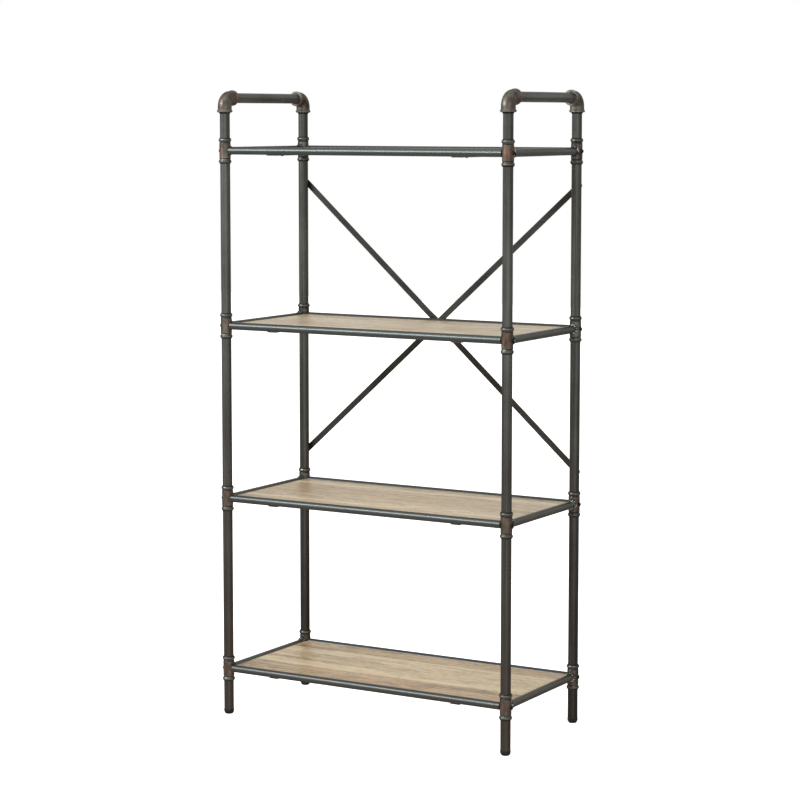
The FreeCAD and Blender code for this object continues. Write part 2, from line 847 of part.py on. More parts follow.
def check(bodies):
    """Stop before anything is written if a feature failed, a cut missed or a solid is bad."""
    for item in doc.Objects:
        if "Invalid" in item.State or "Error" in item.State:
            raise RuntimeError("%s of %s failed: %s" % (item.Name, item.Label, item.State))
    for body in bodies:
        before = 0
        for feature in body.Group:
            if not hasattr(feature, "BaseFeature"):
                continue
            volume = feature.Shape.Volume
            cuts = feature.TypeId in ("PartDesign::Pocket", "PartDesign::Groove")
            if cuts and volume >= before:
                raise RuntimeError("%s in %s cuts nothing" % (feature.Label, body.Label))
            before = volume
        if body.Shape.isNull() or not body.Shape.isValid():
            raise RuntimeError("%s has no valid shape" % body.Label)


def main():
    bodies = make_bookshelf()
    check(bodies)
    os.makedirs("parts", exist_ok=True)
    for body in bodies:
        body.Shape.exportStep(os.path.join("parts", body.Label + ".step"))
        print("%-28s %2d solids %12.1f mm3" % (body.Label, len(body.Shape.Solids), body.Shape.Volume))


main()
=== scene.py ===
import math
import random
import bpy
import bmesh
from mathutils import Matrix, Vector


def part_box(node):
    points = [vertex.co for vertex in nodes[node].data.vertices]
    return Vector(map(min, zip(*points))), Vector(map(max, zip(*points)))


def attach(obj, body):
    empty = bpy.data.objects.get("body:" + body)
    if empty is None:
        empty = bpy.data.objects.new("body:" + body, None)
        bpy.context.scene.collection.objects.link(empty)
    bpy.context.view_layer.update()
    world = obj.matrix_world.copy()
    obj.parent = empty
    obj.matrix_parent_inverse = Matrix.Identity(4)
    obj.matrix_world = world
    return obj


# Looks of the pipe-frame bookshelf, in metres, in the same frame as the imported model:
# X to the right along the shelves, Y to the back, Z up, origin on the floor.
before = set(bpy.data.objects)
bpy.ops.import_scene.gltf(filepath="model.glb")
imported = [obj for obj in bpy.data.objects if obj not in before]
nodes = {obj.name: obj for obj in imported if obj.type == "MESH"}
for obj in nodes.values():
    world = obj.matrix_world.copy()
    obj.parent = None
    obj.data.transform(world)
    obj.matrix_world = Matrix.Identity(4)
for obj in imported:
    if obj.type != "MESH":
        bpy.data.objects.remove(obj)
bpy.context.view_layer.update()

SHELVES = 4
FRONT_CORNERS = ("front_left", "front_right")
REAR_CORNERS = ("rear_left", "rear_right")
MM = 0.001


def middle(node):
    low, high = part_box(node)
    return (low + high) / 2


# Places read from the frame
post_x = middle("post_front_right").x
post_y = middle("post_rear_right").y
shelf_heights = [middle("left_rail_%d" % (level + 1)).z for level in range(SHELVES)]
shelf_pitch = shelf_heights[1] - shelf_heights[0]
long_rail_low, long_rail_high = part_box("front_rail_1")
rail_radius = (long_rail_high.z - long_rail_low.z) / 2
sleeve_radius = post_x - long_rail_high.x
elbow_low, elbow_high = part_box("elbow_front_left")
board_low, board_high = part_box("shelf_board_1")


# Camera: the photograph's viewpoint, fitted to the couplings and elbow rims

CAMERA_PLACE = (3.016, -5.128, 1.520)
CAMERA_TURN = 30.45
CAMERA_TILT = 5.82
CAMERA_LENS = 107.5
CAMERA_SENSOR = 36
CAMERA_SHIFT = -0.05
CAMERA_REACH = 100


def make_camera():
    data = bpy.data.cameras.new("camera")
    data.lens = CAMERA_LENS
    data.sensor_width = CAMERA_SENSOR
    data.shift_y = CAMERA_SHIFT
    data.clip_end = CAMERA_REACH
    camera = bpy.data.objects.new("camera", data)
    camera.location = CAMERA_PLACE
    camera.rotation_euler = (math.radians(90 - CAMERA_TILT), 0, math.radians(CAMERA_TURN))
    bpy.context.scene.collection.objects.link(camera)
    bpy.context.scene.camera = camera


make_camera()


# Materials

# Nearly all values of a noise lie between these
NOISE_LOW = 0.3
NOISE_HIGH = 0.7


class Graph:
    """A node tree, with short calls for what the materials and the world here need."""

    def __init__(self, tree):
        self.tree = tree

    def feed(self, socket, value):
        if isinstance(value, bpy.types.NodeSocket):
            self.tree.links.new(value, socket)
        elif isinstance(value, tuple) and len(value) == 3 and socket.type == "RGBA":
            socket.default_value = (*value, 1)
        else:
            socket.default_value = value

    def add(self, kind, inputs=None, **settings):
        node = self.tree.nodes.new("ShaderNode" + kind)
        for key, value in settings.items():
            setattr(node, key, value)
        for key, value in (inputs or {}).items():
            self.feed(node.inputs[key], value)
        return node

    def math(self, operation, *values):
        return self.add("Math", dict(enumerate(values)), operation=operation).outputs[0]

    def split(self, vector):
        return self.add("SeparateXYZ", {"Vector": vector}).outputs

    def noise(self, vector, scale, detail=3.0, roughness=0.55, distortion=0.0):
        inputs = {"Vector": vector, "Scale": scale, "Detail": detail,
                  "Roughness": roughness, "Distortion": distortion}
        return self.add("TexNoise", inputs).outputs["Fac"]

    def range(self, value, low, high, to_low=0.0, to_high=1.0):
        """to_low where the value is low or less, to_high where it is high or more, smooth between."""
        inputs = {"Value": value, "From Min": low, "From Max": high, "To Min": to_low, "To Max": to_high}
        return self.add("MapRange", inputs, interpolation_type="SMOOTHSTEP").outputs["Result"]

    def spread(self, noise, to_low=0.0, to_high=1.0):
        """The usual values of a noise, spread over the given range."""
        return self.range(noise, NOISE_LOW, NOISE_HIGH, to_low, to_high)

    def band(self, value, low, high, soft):
        """1 where the value lies between low and high, with soft edges."""
        rise = self.range(value, low - soft, low + soft)
        fall = self.range(value, high - soft, high + soft, 1.0, 0.0)
        return self.math("MULTIPLY", rise, fall)

    def mix(self, factor, first, second, blend="MIX"):
        node = self.tree.nodes.new("ShaderNodeMix")
        node.data_type = "RGBA"
        node.blend_type = blend
        self.feed(node.inputs[0], factor)
        self.feed(node.inputs[6], first)
        self.feed(node.inputs[7], second)
        return node.outputs[2]

    def ramp(self, factor, stops):
        node = self.add("ValToRGB", {"Fac": factor})
        points = node.color_ramp.elements
        while len(points) < len(stops):
            points.new(0.5)
        for point, (position, colour) in zip(points, stops):
            point.position = position
            point.color = (*colour, 1)
        return node.outputs["Color"]

    def bump(self, height, distance, strength=0.5, normal=None):
        inputs = {"Height": height, "Distance": distance, "Strength": strength}
        if normal is not None:
            inputs["Normal"] = normal
        return self.add("Bump", inputs).outputs["Normal"]


# Tint of a metal seen at a grazing angle
GRAZING_TINT = (0.45, 0.45, 0.44)


class Finish(Graph):
    """The node tree of one material, round its Principled shader."""

    def __init__(self, name, metallic=0.0, roughness=0.5):
        self.material = bpy.data.materials.new(name)
        self.material.use_nodes = True
        super().__init__(self.material.node_tree)
        self.shader = self.tree.nodes["Principled BSDF"]
        self.shader.inputs["Metallic"].default_value = metallic
        self.shader.inputs["Roughness"].default_value = roughness
        if metallic:
            self.shader.inputs["Specular Tint"].default_value = (*GRAZING_TINT, 1)
        self.place = self.add("TexCoord").outputs["Object"]
        self.x, self.y, self.z = self.split(self.place)

    def stretch(self, along_x, along_y, along_z, shift=0.0):
        """Object coordinates scaled along each axis, so that noise comes out stretched."""
        inputs = {"Vector": self.place, "Scale": (along_x, along_y, along_z), "Location": (shift,) * 3}
        return self.add("Mapping", inputs).outputs[0]

    def finish(self, colour, roughness=None, normal=None):
        self.feed(self.shader.inputs["Base Color"], colour)
        if roughness is not None:
            self.feed(self.shader.inputs["Roughness"], roughness)
        if normal is not None:
            self.feed(self.shader.inputs["Normal"], normal)
        return self.material


# Tones of the lacquered steel; each foot tone is painted shade, darker and browner towards the floor
GUNMETAL = (0.138, 0.139, 0.131)
GUNMETAL_DARK = (0.088, 0.088, 0.082)
STREAK = (0.048, 0.047, 0.043)
SIDE_TONE = (0.158, 0.158, 0.145)
SIDE_DARK = (0.108, 0.107, 0.097)
SIDE_FOOT = (0.134, 0.122, 0.100)
HANDLE_TONE = (0.193, 0.193, 0.178)
HANDLE_DARK = (0.130, 0.129, 0.118)
RAIL_TONE = (0.107, 0.113, 0.109)
RAIL_DARK = (0.093, 0.097, 0.093)
RAIL_FOOT = (0.094, 0.092, 0.087)
BRACE_TONE = (0.075, 0.07, 0.062)
BRACE_DARK = (0.036, 0.032, 0.028)
FOOT_SHADE_BROWN = (0.078, 0.064, 0.052)
REAR_FOOT_SHADE = (0.040, 0.033, 0.028)

# Tones of the cast fittings
BRONZE = (0.245, 0.150, 0.108)
BRONZE_DARK = (0.094, 0.072, 0.060)
CAST = (0.205, 0.198, 0.176)
CAST_DARK = (0.108, 0.104, 0.090)
REAR_CAST = (0.185, 0.190, 0.178)
REAR_CAST_DARK = (0.070, 0.068, 0.060)
WORN = (0.155, 0.152, 0.141)
# Worn rims of the elbows, lighter also as painted highlight
WORN_RIM_AND_HIGHLIGHT = (0.260, 0.250, 0.230)
# Painted shade in the couplings' grooves and at the feet of their beads
GROOVE_SHADE = (0.040, 0.035, 0.031)
REAR_GROOVE_SHADE = (0.040, 0.036, 0.032)
# Painted shade on the elbows' necks and under their lower rims
NECK_SHADE = (0.030, 0.026, 0.023)

# The axis along which a piece was drawn, as a place in (X, Y, Z)
ALONG_X = 0
ALONG_Y = 1
ALONG_Z = 2

# Lacquer: scales of its patterns in repeats a metre, the values of each noise between which
# another tone comes in, the greatest share of that tone, and the depth of the relief
STREAKS_ACROSS = 900.0
STREAKS_ALONG = 14.0
STREAKS_SPAN = (0.35, 0.75)
STREAKS_SHARE = 0.3
STREAKS_GLOSS = (-0.04, 0.05)
BANDS_ACROSS = 190.0
BANDS_ALONG = 1.5
BANDS_SPAN = (0.44, 0.60)
BANDS_SHARE = 0.70
CLOUDS = 9.0
CLOUDS_SPAN = (0.25, 0.75)
CLOUDS_GLOSS = (-0.03, 0.04)
FLECKS = 1400.0
FLECKS_SPAN = (0.62, 0.75)
FLECKS_SHARE = 0.25
ORANGE_PEEL = 420.0
LACQUER_RELIEF = 0.006 * MM
LACQUER_METALLIC = 0.72

# Painted shade: the foot's darker, browner tone has this share at the floor, and none from this height up
FOOT_SHARE = 0.75
FOOT_UP_TO = 1.1


def drawn_noise(graph, axis, across, along, detail, seed):
    """Noise drawn out along one axis."""
    scales = [across, across, across]
    scales[axis] = along
    return graph.noise(graph.stretch(*scales, shift=seed), 1.0, detail=detail)


def lacquer(name, axis, dark=GUNMETAL_DARK, light=GUNMETAL, foot_shade=FOOT_SHADE_BROWN,
            roughness=0.32, texture=1.0, seed=0.0):
    """Satin lacquer over steel: drawing streaks along one axis, and a darker, browner tone towards the
    foot that is painted shade.
    """
    graph = Finish(name, metallic=LACQUER_METALLIC, roughness=roughness)
    streaks = drawn_noise(graph, axis, STREAKS_ACROSS, STREAKS_ALONG, 4.0, seed)
    bands = drawn_noise(graph, axis, BANDS_ACROSS, BANDS_ALONG, 2.0, seed)
    clouds = graph.noise(graph.stretch(1, 1, 1, shift=seed), CLOUDS, detail=5.0, roughness=0.6)
    flecks = graph.noise(graph.place, FLECKS, detail=2.0)
    peel = graph.noise(graph.place, ORANGE_PEEL, detail=2.0)
    tone = graph.mix(graph.range(clouds, *CLOUDS_SPAN), dark, light)
    tone = graph.mix(graph.range(bands, *BANDS_SPAN, 0.0, BANDS_SHARE * texture), tone, STREAK)
    tone = graph.mix(graph.range(streaks, *STREAKS_SPAN, 0.0, STREAKS_SHARE), tone, light)
    tone = graph.mix(graph.range(graph.z, 0.0, FOOT_UP_TO, FOOT_SHARE, 0.0), tone, foot_shade)
    tone = graph.mix(graph.range(flecks, *FLECKS_SPAN, 0.0, FLECKS_SHARE * texture), tone, BRONZE_DARK)
    gloss = roughness
    for noise, (least, most) in ((streaks, STREAKS_GLOSS), (clouds, CLOUDS_GLOSS)):
        gloss = graph.math("ADD", graph.spread(noise, least * texture, most * texture), gloss)
    skin = graph.bump(streaks, LACQUER_RELIEF * texture)
    skin = graph.bump(peel, LACQUER_RELIEF * texture, normal=skin)
    return graph.finish(tone, gloss, skin)


# Cast metal: scales of its patterns in repeats a metre, the values of each noise between which
# the tone or the gloss changes, the depths of its skin, and what comes off the roughness where
# it is worn. A row of four ends with the shares at the first and at the second noise value.
CAST_CLOUDS = 34.0
CAST_CLOUDS_SPAN = (0.36, 0.64)
BLOTCHES = 110.0
BLOTCHES_UPRIGHT = 0.35
BLOTCHES_DEPTH = 0.12 * MM
LUMPS_STRENGTH = 0.6
BLOTCHES_WORN = (0.25, 0.6, 0.25, 1.0)
BLOTCHES_GLOSS_SPAN = (0.25, 0.75)
SAND = 900.0
SAND_DEPTH = 0.02 * MM
GRIT = 230.0
WORN_POLISH = 0.04
CAST_METALLIC = 0.8


def patina(name, wear_and_highlight_mask, bronze_mask, painted_shade_mask, dark, wear_and_highlight_tone=WORN, cast=CAST, cast_dark=CAST_DARK,
           gloss=(0.34, 0.50), lumps=0.05 * MM, seed=0.0):
    """Cast iron under bronze-brown lacquer: masks say where it is worn, where it is brown, and where
    painted shade darkens it.
    """
    graph = Finish(name, metallic=CAST_METALLIC, roughness=0.4)
    clouds = graph.noise(graph.stretch(1, 1, 1, shift=seed), CAST_CLOUDS, detail=6.0, roughness=0.62)
    blotches = graph.noise(graph.stretch(1, 1, BLOTCHES_UPRIGHT, shift=seed), BLOTCHES, detail=4.0)
    sand = graph.noise(graph.place, SAND, detail=3.0, roughness=0.6)
    grit = graph.noise(graph.place, GRIT, detail=2.0)
    tone = graph.mix(graph.range(clouds, *CAST_CLOUDS_SPAN), cast_dark, cast)
    bronze = graph.mix(graph.spread(blotches), BRONZE_DARK, BRONZE)
    tone = graph.mix(bronze_mask(graph), tone, bronze)
    # Painted shade where its mask says
    tone = graph.mix(painted_shade_mask(graph), tone, dark)
    # Wear, which on the elbows' rims is also painted highlight
    patchy = graph.math("MULTIPLY", wear_and_highlight_mask(graph), graph.range(blotches, *BLOTCHES_WORN))
    tone = graph.mix(patchy, tone, wear_and_highlight_tone)
    polish = graph.range(blotches, *BLOTCHES_GLOSS_SPAN, *gloss)
    polish = graph.math("SUBTRACT", polish, graph.math("MULTIPLY", patchy, WORN_POLISH))
    skin = graph.bump(sand, SAND_DEPTH)
    skin = graph.bump(blotches, BLOTCHES_DEPTH, LUMPS_STRENGTH, skin)
    skin = graph.bump(grit, lumps, LUMPS_STRENGTH, skin)
    return graph.finish(tone, polish, skin)


# Couplings: distances along the post from the shelf's height
SLEEVE_FULL_TO = 15 * MM
SLEEVE_TO = 19 * MM
GROOVE_FROM = 18.7 * MM
GROOVE_TO = 20.9 * MM
GROOVE_SOFT = 0.5 * MM
BEAD_FROM = 24.5 * MM
BEAD_TO = 28.5 * MM
BEAD_SOFT = 0.8 * MM
FOOT_SOFT = 0.4 * MM
# Where the painted shade at the foot of each bead lies
INNER_FOOT_FROM = BEAD_FROM - 1.4 * MM
INNER_FOOT_TO = BEAD_FROM - 0.6 * MM
OUTER_FOOT_FROM = BEAD_TO + 0.6 * MM
OUTER_FOOT_FULL = BEAD_TO + 1.2 * MM

# Brown of the sleeves: upright runs, in repeats a metre. Each row of four has two places or
# noise values, and then the share of brown at the first and at the second
RUNS = 75.0
RUNS_UPRIGHT = 0.22
RUNS_SPAN = (0.45, 0.56)
PAST_SLEEVE = 0.1
OUTER_SIDE = (-9 * MM, 5 * MM)
INNER_SHARE = 0.3
FRONT_LEAST_BY_HEIGHT = (0.3, 1.2, 0.75, 0.12)
REAR_LEAST = 0.5
REAR_FULL_BY_HEIGHT = (0.6, 1.0, 1.0, 0.3)
REAR_INNER_BY_HEIGHT = (0.1, 0.8, 0.95, 0.3)
REAR_INNER_LEFT_TO_RIGHT = (-0.1, 0.1, 0.4, 1.0)
REAR_SEED = 2.2


def from_shelf(graph):
    """Distance along the post from the nearest shelf height."""
    height = graph.math("SUBTRACT", graph.z, shelf_heights[0])
    steps = graph.math("ROUND", graph.math("DIVIDE", height, shelf_pitch))
    nearest = graph.math("MULTIPLY", steps, shelf_pitch)
    return graph.math("ABSOLUTE", graph.math("SUBTRACT", height, nearest))


def groove_shade_mask(graph):
    """Painted shade in the groove at each end of the sleeve, and at the foot of each bead."""
    offset = from_shelf(graph)
    groove = graph.band(offset, GROOVE_FROM, GROOVE_TO, GROOVE_SOFT)
    inner_foot = graph.band(offset, INNER_FOOT_FROM, INNER_FOOT_TO, FOOT_SOFT)
    outer_foot = graph.range(offset, OUTER_FOOT_FROM, OUTER_FOOT_FULL)
    return graph.math("MAXIMUM", groove, graph.math("MAXIMUM", inner_foot, outer_foot))


def bead_mask(graph):
    return graph.band(from_shelf(graph), BEAD_FROM, BEAD_TO, BEAD_SOFT)


def sleeve_mask(graph, least, full=1.0, inner=INNER_SHARE, seed=0.0):
    """The sleeve between the grooves, brown in upright runs.

    Full is the share in a run, least what is left of it between the runs, and inner what is
    left of it on the side towards the other row of posts.
    """
    runs = graph.noise(graph.stretch(1, 1, RUNS_UPRIGHT, shift=seed), RUNS, detail=2.0)
    share = graph.math(
        "MULTIPLY",
        graph.range(from_shelf(graph), SLEEVE_FULL_TO, SLEEVE_TO, full, PAST_SLEEVE),
        graph.range(runs, *RUNS_SPAN, least, 1.0))
    outwards = graph.math("SUBTRACT", graph.math("ABSOLUTE", graph.y), post_y)
    return graph.math("MULTIPLY", share, graph.range(outwards, *OUTER_SIDE, inner, 1.0))


def front_sleeve_mask(graph):
    """Brown in runs on the upper shelves, and nearly all over lower down."""
    return sleeve_mask(graph, graph.range(graph.z, *FRONT_LEAST_BY_HEIGHT))


def rear_sleeve_mask(graph):
    """Brown at the lower two shelves, and there less on the left."""
    full = graph.range(graph.z, *REAR_FULL_BY_HEIGHT)
    inner = graph.math(
        "MULTIPLY",
        graph.range(graph.z, *REAR_INNER_BY_HEIGHT),
        graph.range(graph.x, *REAR_INNER_LEFT_TO_RIGHT))
    return sleeve_mask(graph, REAR_LEAST, full, inner, REAR_SEED)


def front_coupling_patina():
    return patina(
        "coupling_patina",
        wear_and_highlight_mask=bead_mask,
        bronze_mask=front_sleeve_mask,
        painted_shade_mask=groove_shade_mask,
        dark=GROOVE_SHADE)


def rear_coupling_patina():
    """The rear couplings are greyer and lumpier than the front ones."""
    return patina(
        "rear_coupling_patina",
        wear_and_highlight_mask=bead_mask,
        bronze_mask=rear_sleeve_mask,
        painted_shade_mask=groove_shade_mask,
        dark=REAR_GROOVE_SHADE,
        cast=REAR_CAST,
        cast_dark=REAR_CAST_DARK,
        gloss=(0.24, 0.40),
        lumps=0.45 * MM,
        seed=REAR_SEED)


# Elbows: where the two rims start, past their necks, as a height and as a distance from the middle
RIM_WIDTH = 6 * MM
NECK_LENGTH = 3 * MM
lower_face = elbow_low.z + NECK_LENGTH
level_face = -(elbow_high.y - NECK_LENGTH)

# Worn edges of each rim, lighter also as painted highlight, from its start: where each begins and ends,
# and how softly
LOWER_RIM_EDGES = ((1.2 * MM, 2.6 * MM, 0.5 * MM), (RIM_WIDTH - 1 * MM, RIM_WIDTH, 0.8 * MM))
LEVEL_RIM_EDGES = ((0.0, 1.4 * MM, 0.6 * MM), (RIM_WIDTH - 1 * MM, RIM_WIDTH, 0.8 * MM))

# The neck's painted shade is full up to the first distance past the rim's start, and gone at the second
NECK_FADE = (0.2 * MM, 0.9 * MM)

# Brown patches: repeats a metre, noise values with their shares, and how they fill out upwards
PATCHES = 62.0
PATCHES_SPAN = (0.44, 0.56, 0.08, 0.85)
PATCHES_RISE = 0.03
PATCHES_LOW_SHARE = 0.6


def rim_wear_and_highlight_mask(graph):
    """Both edges of both rims: wear, and painted highlight."""
    depth = graph.math("ABSOLUTE", graph.y)
    total = 0.0
    for place, face, edges in (
            (graph.z, lower_face, LOWER_RIM_EDGES),
            (depth, level_face, LEVEL_RIM_EDGES)):
        for start, end, soft in edges:
            total = graph.math("MAXIMUM", total, graph.band(place, face + start, face + end, soft))
    return total


def neck_shade_mask(graph):
    """Painted shade on the short neck under the lower rim, and on the rim's lower edge."""
    full, gone = NECK_FADE
    return graph.range(graph.z, lower_face + full, lower_face + gone, 1.0, 0.0)


def patches_mask(graph):
    """Brown lacquer in patches a few centimetres wide, fuller towards the bend."""
    noise = graph.noise(graph.place, PATCHES, detail=3.0, distortion=0.4)
    fullness = graph.range(graph.z, lower_face, lower_face + PATCHES_RISE, PATCHES_LOW_SHARE, 1.0)
    return graph.math("MULTIPLY", graph.range(noise, *PATCHES_SPAN), fullness)


def elbow_patina():
    return patina(
        "elbow_patina",
        wear_and_highlight_mask=rim_wear_and_highlight_mask,
        bronze_mask=patches_mask,
        painted_shade_mask=neck_shade_mask,
        dark=NECK_SHADE,
        wear_and_highlight_tone=WORN_RIM_AND_HIGHLIGHT,
        gloss=(0.33, 0.47),
        seed=3.7)


# Boards: staves along the whole board
OAK_LIGHT = (0.715, 0.575, 0.375)
OAK = (0.520, 0.390, 0.238)
OAK_DARK = (0.375, 0.243, 0.124)
OAK_BROWN = (0.250, 0.150, 0.074)
OAK_ORANGE = (0.520, 0.300, 0.150)
OAK_GREY = (0.360, 0.300, 0.225)
OAK_TONES = [(0.0, OAK_BROWN), (0.22, OAK_DARK), (0.60, OAK), (1.0, OAK_LIGHT)]

# For each board from the bottom: where each stave starts, as a share of the depth from the back,
# with the tone at the stave's rear and front edge, from 0 (dark) to 1 (light)
STAVES = (
    ((0.0, 0.45, 0.38), (0.19, 0.92, 0.52), (0.58, 0.92, 0.90), (0.72, 0.32, 0.38)),
    ((0.0, 0.30, 1.05), (0.18, 0.60, 0.42), (0.54, 0.45, 0.78), (0.86, 0.48, 0.52)),
    ((0.0, 0.56, 0.46), (0.22, 0.70, 0.58), (0.47, 0.66, 0.55), (0.74, 0.60, 0.68)),
    ((0.0, 0.60, 0.75), (0.27, 0.90, 0.50), (0.55, 0.70, 0.85), (0.82, 0.50, 0.60)),
)
STAVE_SEAM = 0.0015

# A tint for each board from the bottom: the bottom one is a little warmer, the others cooler
BOARD_TINTS = ((1.02, 1.01, 0.965), (1.02, 1.04, 1.06), (1.0, 1.04, 1.10), (1.0, 1.04, 1.10))
BOARD_SEED_STEP = 11.3
PORE_DEPTH = 0.06 * MM
PORE_GLOSS = (0.38, 0.48)

# Orange mottles: two stave tones, and the greatest share of orange at the first and at the second
ORANGE_BY_STAVE_TONE = (0.3, 0.7, 0.7, 0.12)


def stave_stops(staves):
    """Ramp stops that jump at each stave edge and run evenly across each stave."""
    stops = []
    for index, (start, rear, front) in enumerate(staves):
        end = staves[index + 1][0] if index + 1 < len(staves) else 1.0
        stops.append((start + STAVE_SEAM, (rear,) * 3))
        stops.append((end - STAVE_SEAM, (front,) * 3))
    return stops


def oak(level):
    graph = Finish("oak_%d" % (level + 1), roughness=0.42)
    seed = BOARD_SEED_STEP * (level + 1)

    def pattern(along, across, shift, **settings):
        """Noise in so many repeats a metre, along and across the staves, with a shift of its own."""
        return graph.noise(graph.stretch(along, across, 1, shift=seed + shift), 1.0, **settings)

    wander = pattern(2.2, 8.0, 0, detail=2.0)
    broad = pattern(3.0, 26.0, 0, detail=4.0, distortion=0.6)
    figure = pattern(5.0, 170.0, 1, detail=5.0, roughness=0.62)
    pores = pattern(38.0, 1500.0, 2, detail=3.0, roughness=0.6)
    flecks = pattern(160.0, 700.0, 3, detail=2.0)
    mottles = pattern(16.0, 60.0, 4, detail=3.0, distortion=0.8)
    speckle = pattern(80.0, 120.0, 5, detail=3.0, roughness=0.6)
    blush = pattern(7.0, 30.0, 6, detail=3.0, distortion=0.5)

    depth = graph.math("DIVIDE", graph.math("SUBTRACT", board_high.y, graph.y), board_high.y - board_low.y)
    stave_tone = graph.split(graph.ramp(depth, stave_stops(STAVES[level])))[0]
    # How far each pattern darkens and lightens the tone
    tone = stave_tone
    for change in (
            graph.spread(broad, -0.18, 0.16),
            graph.spread(mottles, -0.20, 0.20),
            graph.spread(speckle, -0.17, 0.15),
            graph.range(figure, 0.32, 0.68, -0.2, 0.18),
            graph.spread(wander, -0.08, 0.08)):
        tone = graph.math("ADD", tone, change)
    colour = graph.ramp(tone, OAK_TONES)

    # Other tones, by the share that each pattern lets in
    orange = graph.range(stave_tone, *ORANGE_BY_STAVE_TONE)
    for share, other in (
            (graph.math("MULTIPLY", orange, graph.range(mottles, 0.5, 0.65)), OAK_ORANGE),
            (graph.range(blush, 0.5, 0.68, 0.0, 0.22), OAK_ORANGE),
            (graph.range(broad, 0.55, 0.75, 0.0, 0.25), OAK_GREY),
            (graph.range(pores, 0.56, 0.72, 0.0, 0.34), OAK_DARK),
            (graph.range(flecks, 0.6, 0.78, 0.0, 0.3), OAK_BROWN)):
        colour = graph.mix(share, colour, other)
    colour = graph.mix(1.0, colour, BOARD_TINTS[level], "MULTIPLY")
    return graph.finish(colour, graph.spread(pores, *PORE_GLOSS), graph.bump(pores, PORE_DEPTH))


# Small pieces
OXIDE = (0.018, 0.018, 0.018)
OXIDE_LIGHT = (0.048, 0.045, 0.042)
STEEL = (0.42, 0.42, 0.40)
STEEL_LIGHT = (0.58, 0.58, 0.56)
PLASTIC = (0.006, 0.006, 0.006)
PLASTIC_SCUFFED = (0.022, 0.020, 0.018)

# Their patterns in repeats a metre, the depths of their skins, and their roughness
OXIDE_CLOUDS = 260.0
OXIDE_DEPTH = 0.04 * MM
OXIDE_GLOSS = (0.26, 0.42)
STEEL_RINGS = (2600, 60, 60)
STEEL_GLOSS = (0.28, 0.42)
PLASTIC_TEXTURE = 2200.0
PLASTIC_DEPTH = 0.05 * MM
PLASTIC_STRENGTH = 0.6
PLASTIC_GLOSS = (0.42, 0.62)
SCUFFS = 140.0
SCUFFS_UPRIGHT = 2.5
SCUFFS_SPAN = (0.5, 0.75)


def black_oxide():
    graph = Finish("black_oxide", metallic=0.85, roughness=0.33)
    clouds = graph.noise(graph.place, OXIDE_CLOUDS, detail=4.0)
    tone = graph.mix(graph.spread(clouds), OXIDE, OXIDE_LIGHT)
    return graph.finish(tone, graph.spread(clouds, *OXIDE_GLOSS), graph.bump(clouds, OXIDE_DEPTH))


def turned_steel():
    graph = Finish("turned_steel", metallic=1.0, roughness=0.35)
    rings = graph.noise(graph.stretch(*STEEL_RINGS), 1.0, detail=2.0)
    return graph.finish(graph.mix(rings, STEEL, STEEL_LIGHT), graph.spread(rings, *STEEL_GLOSS))


def moulded_black():
    graph = Finish("moulded_black", roughness=0.55)
    texture = graph.noise(graph.place, PLASTIC_TEXTURE, detail=2.0)
    scuffs = graph.noise(graph.stretch(1, 1, SCUFFS_UPRIGHT), SCUFFS, detail=4.0)
    tone = graph.mix(graph.range(scuffs, *SCUFFS_SPAN), PLASTIC, PLASTIC_SCUFFED)
    skin = graph.bump(texture, PLASTIC_DEPTH, PLASTIC_STRENGTH)
    return graph.finish(tone, graph.spread(scuffs, *PLASTIC_GLOSS), skin)


def dress(names, material):
    for name in names:
        mesh = nodes[name].data
        mesh.materials.clear()
        mesh.materials.append(material)
        for face in mesh.polygons:
            face.material_index = 0


def named(pattern, *parts):
    """Every name that the pattern gives with a word from each part, such as a corner and a level."""
    names = [()]
    for words in parts:
        names = [name + (word,) for name in names for word in words]
    return [pattern % name for name in names]


def dress_nodes():
    levels = range(1, SHELVES + 1)
    dress(named("post_%s", FRONT_CORNERS), lacquer("post_lacquer", ALONG_Z))
    # The rear posts' foot tone is a darker painted shade
    dress(named("post_%s", REAR_CORNERS),
          lacquer("rear_post_lacquer", ALONG_Z, foot_shade=REAR_FOOT_SHADE, seed=1.3))
    dress(["handle_pipe_left", "handle_pipe_right"],
          lacquer("handle_lacquer", ALONG_Y, HANDLE_DARK, HANDLE_TONE, texture=0.7, seed=4.4))
    dress(named("coupling_%s_%d", FRONT_CORNERS, levels), front_coupling_patina())
    dress(named("coupling_%s_%d", REAR_CORNERS, levels), rear_coupling_patina())
    dress(named("elbow_%s", FRONT_CORNERS + REAR_CORNERS), elbow_patina())
    dress(named("%s_rail_%d", ("front", "rear"), levels),
          lacquer("long_rail_lacquer", ALONG_X, RAIL_DARK, RAIL_TONE, RAIL_FOOT,
                  roughness=0.33, texture=0.05, seed=5.3))
    dress(named("%s_rail_%d", ("left", "right"), levels),
          lacquer("side_rail_lacquer", ALONG_Y, SIDE_DARK, SIDE_TONE, SIDE_FOOT, texture=0.3, seed=6.9))
    for level in range(SHELVES):
        dress(["shelf_board_%d" % (level + 1)], oak(level))
    dress(["board_straps"], lacquer("strap_lacquer", ALONG_Y, roughness=0.42, seed=8.8))
    dress(["brace_rising", "brace_falling"],
          lacquer("brace_lacquer", ALONG_X, BRACE_DARK, BRACE_TONE, roughness=0.4, seed=9.4))
    dress(["rail_bolts", "brace_bolts", "board_screws"], black_oxide())
    dress(["rail_inserts", "brace_nuts"], turned_steel())
    dress(named("glide_%s", FRONT_CORNERS + REAR_CORNERS), moulded_black())


dress_nodes()


# Weld beads: a rippled bead round each end of each side rail, where it meets the coupling

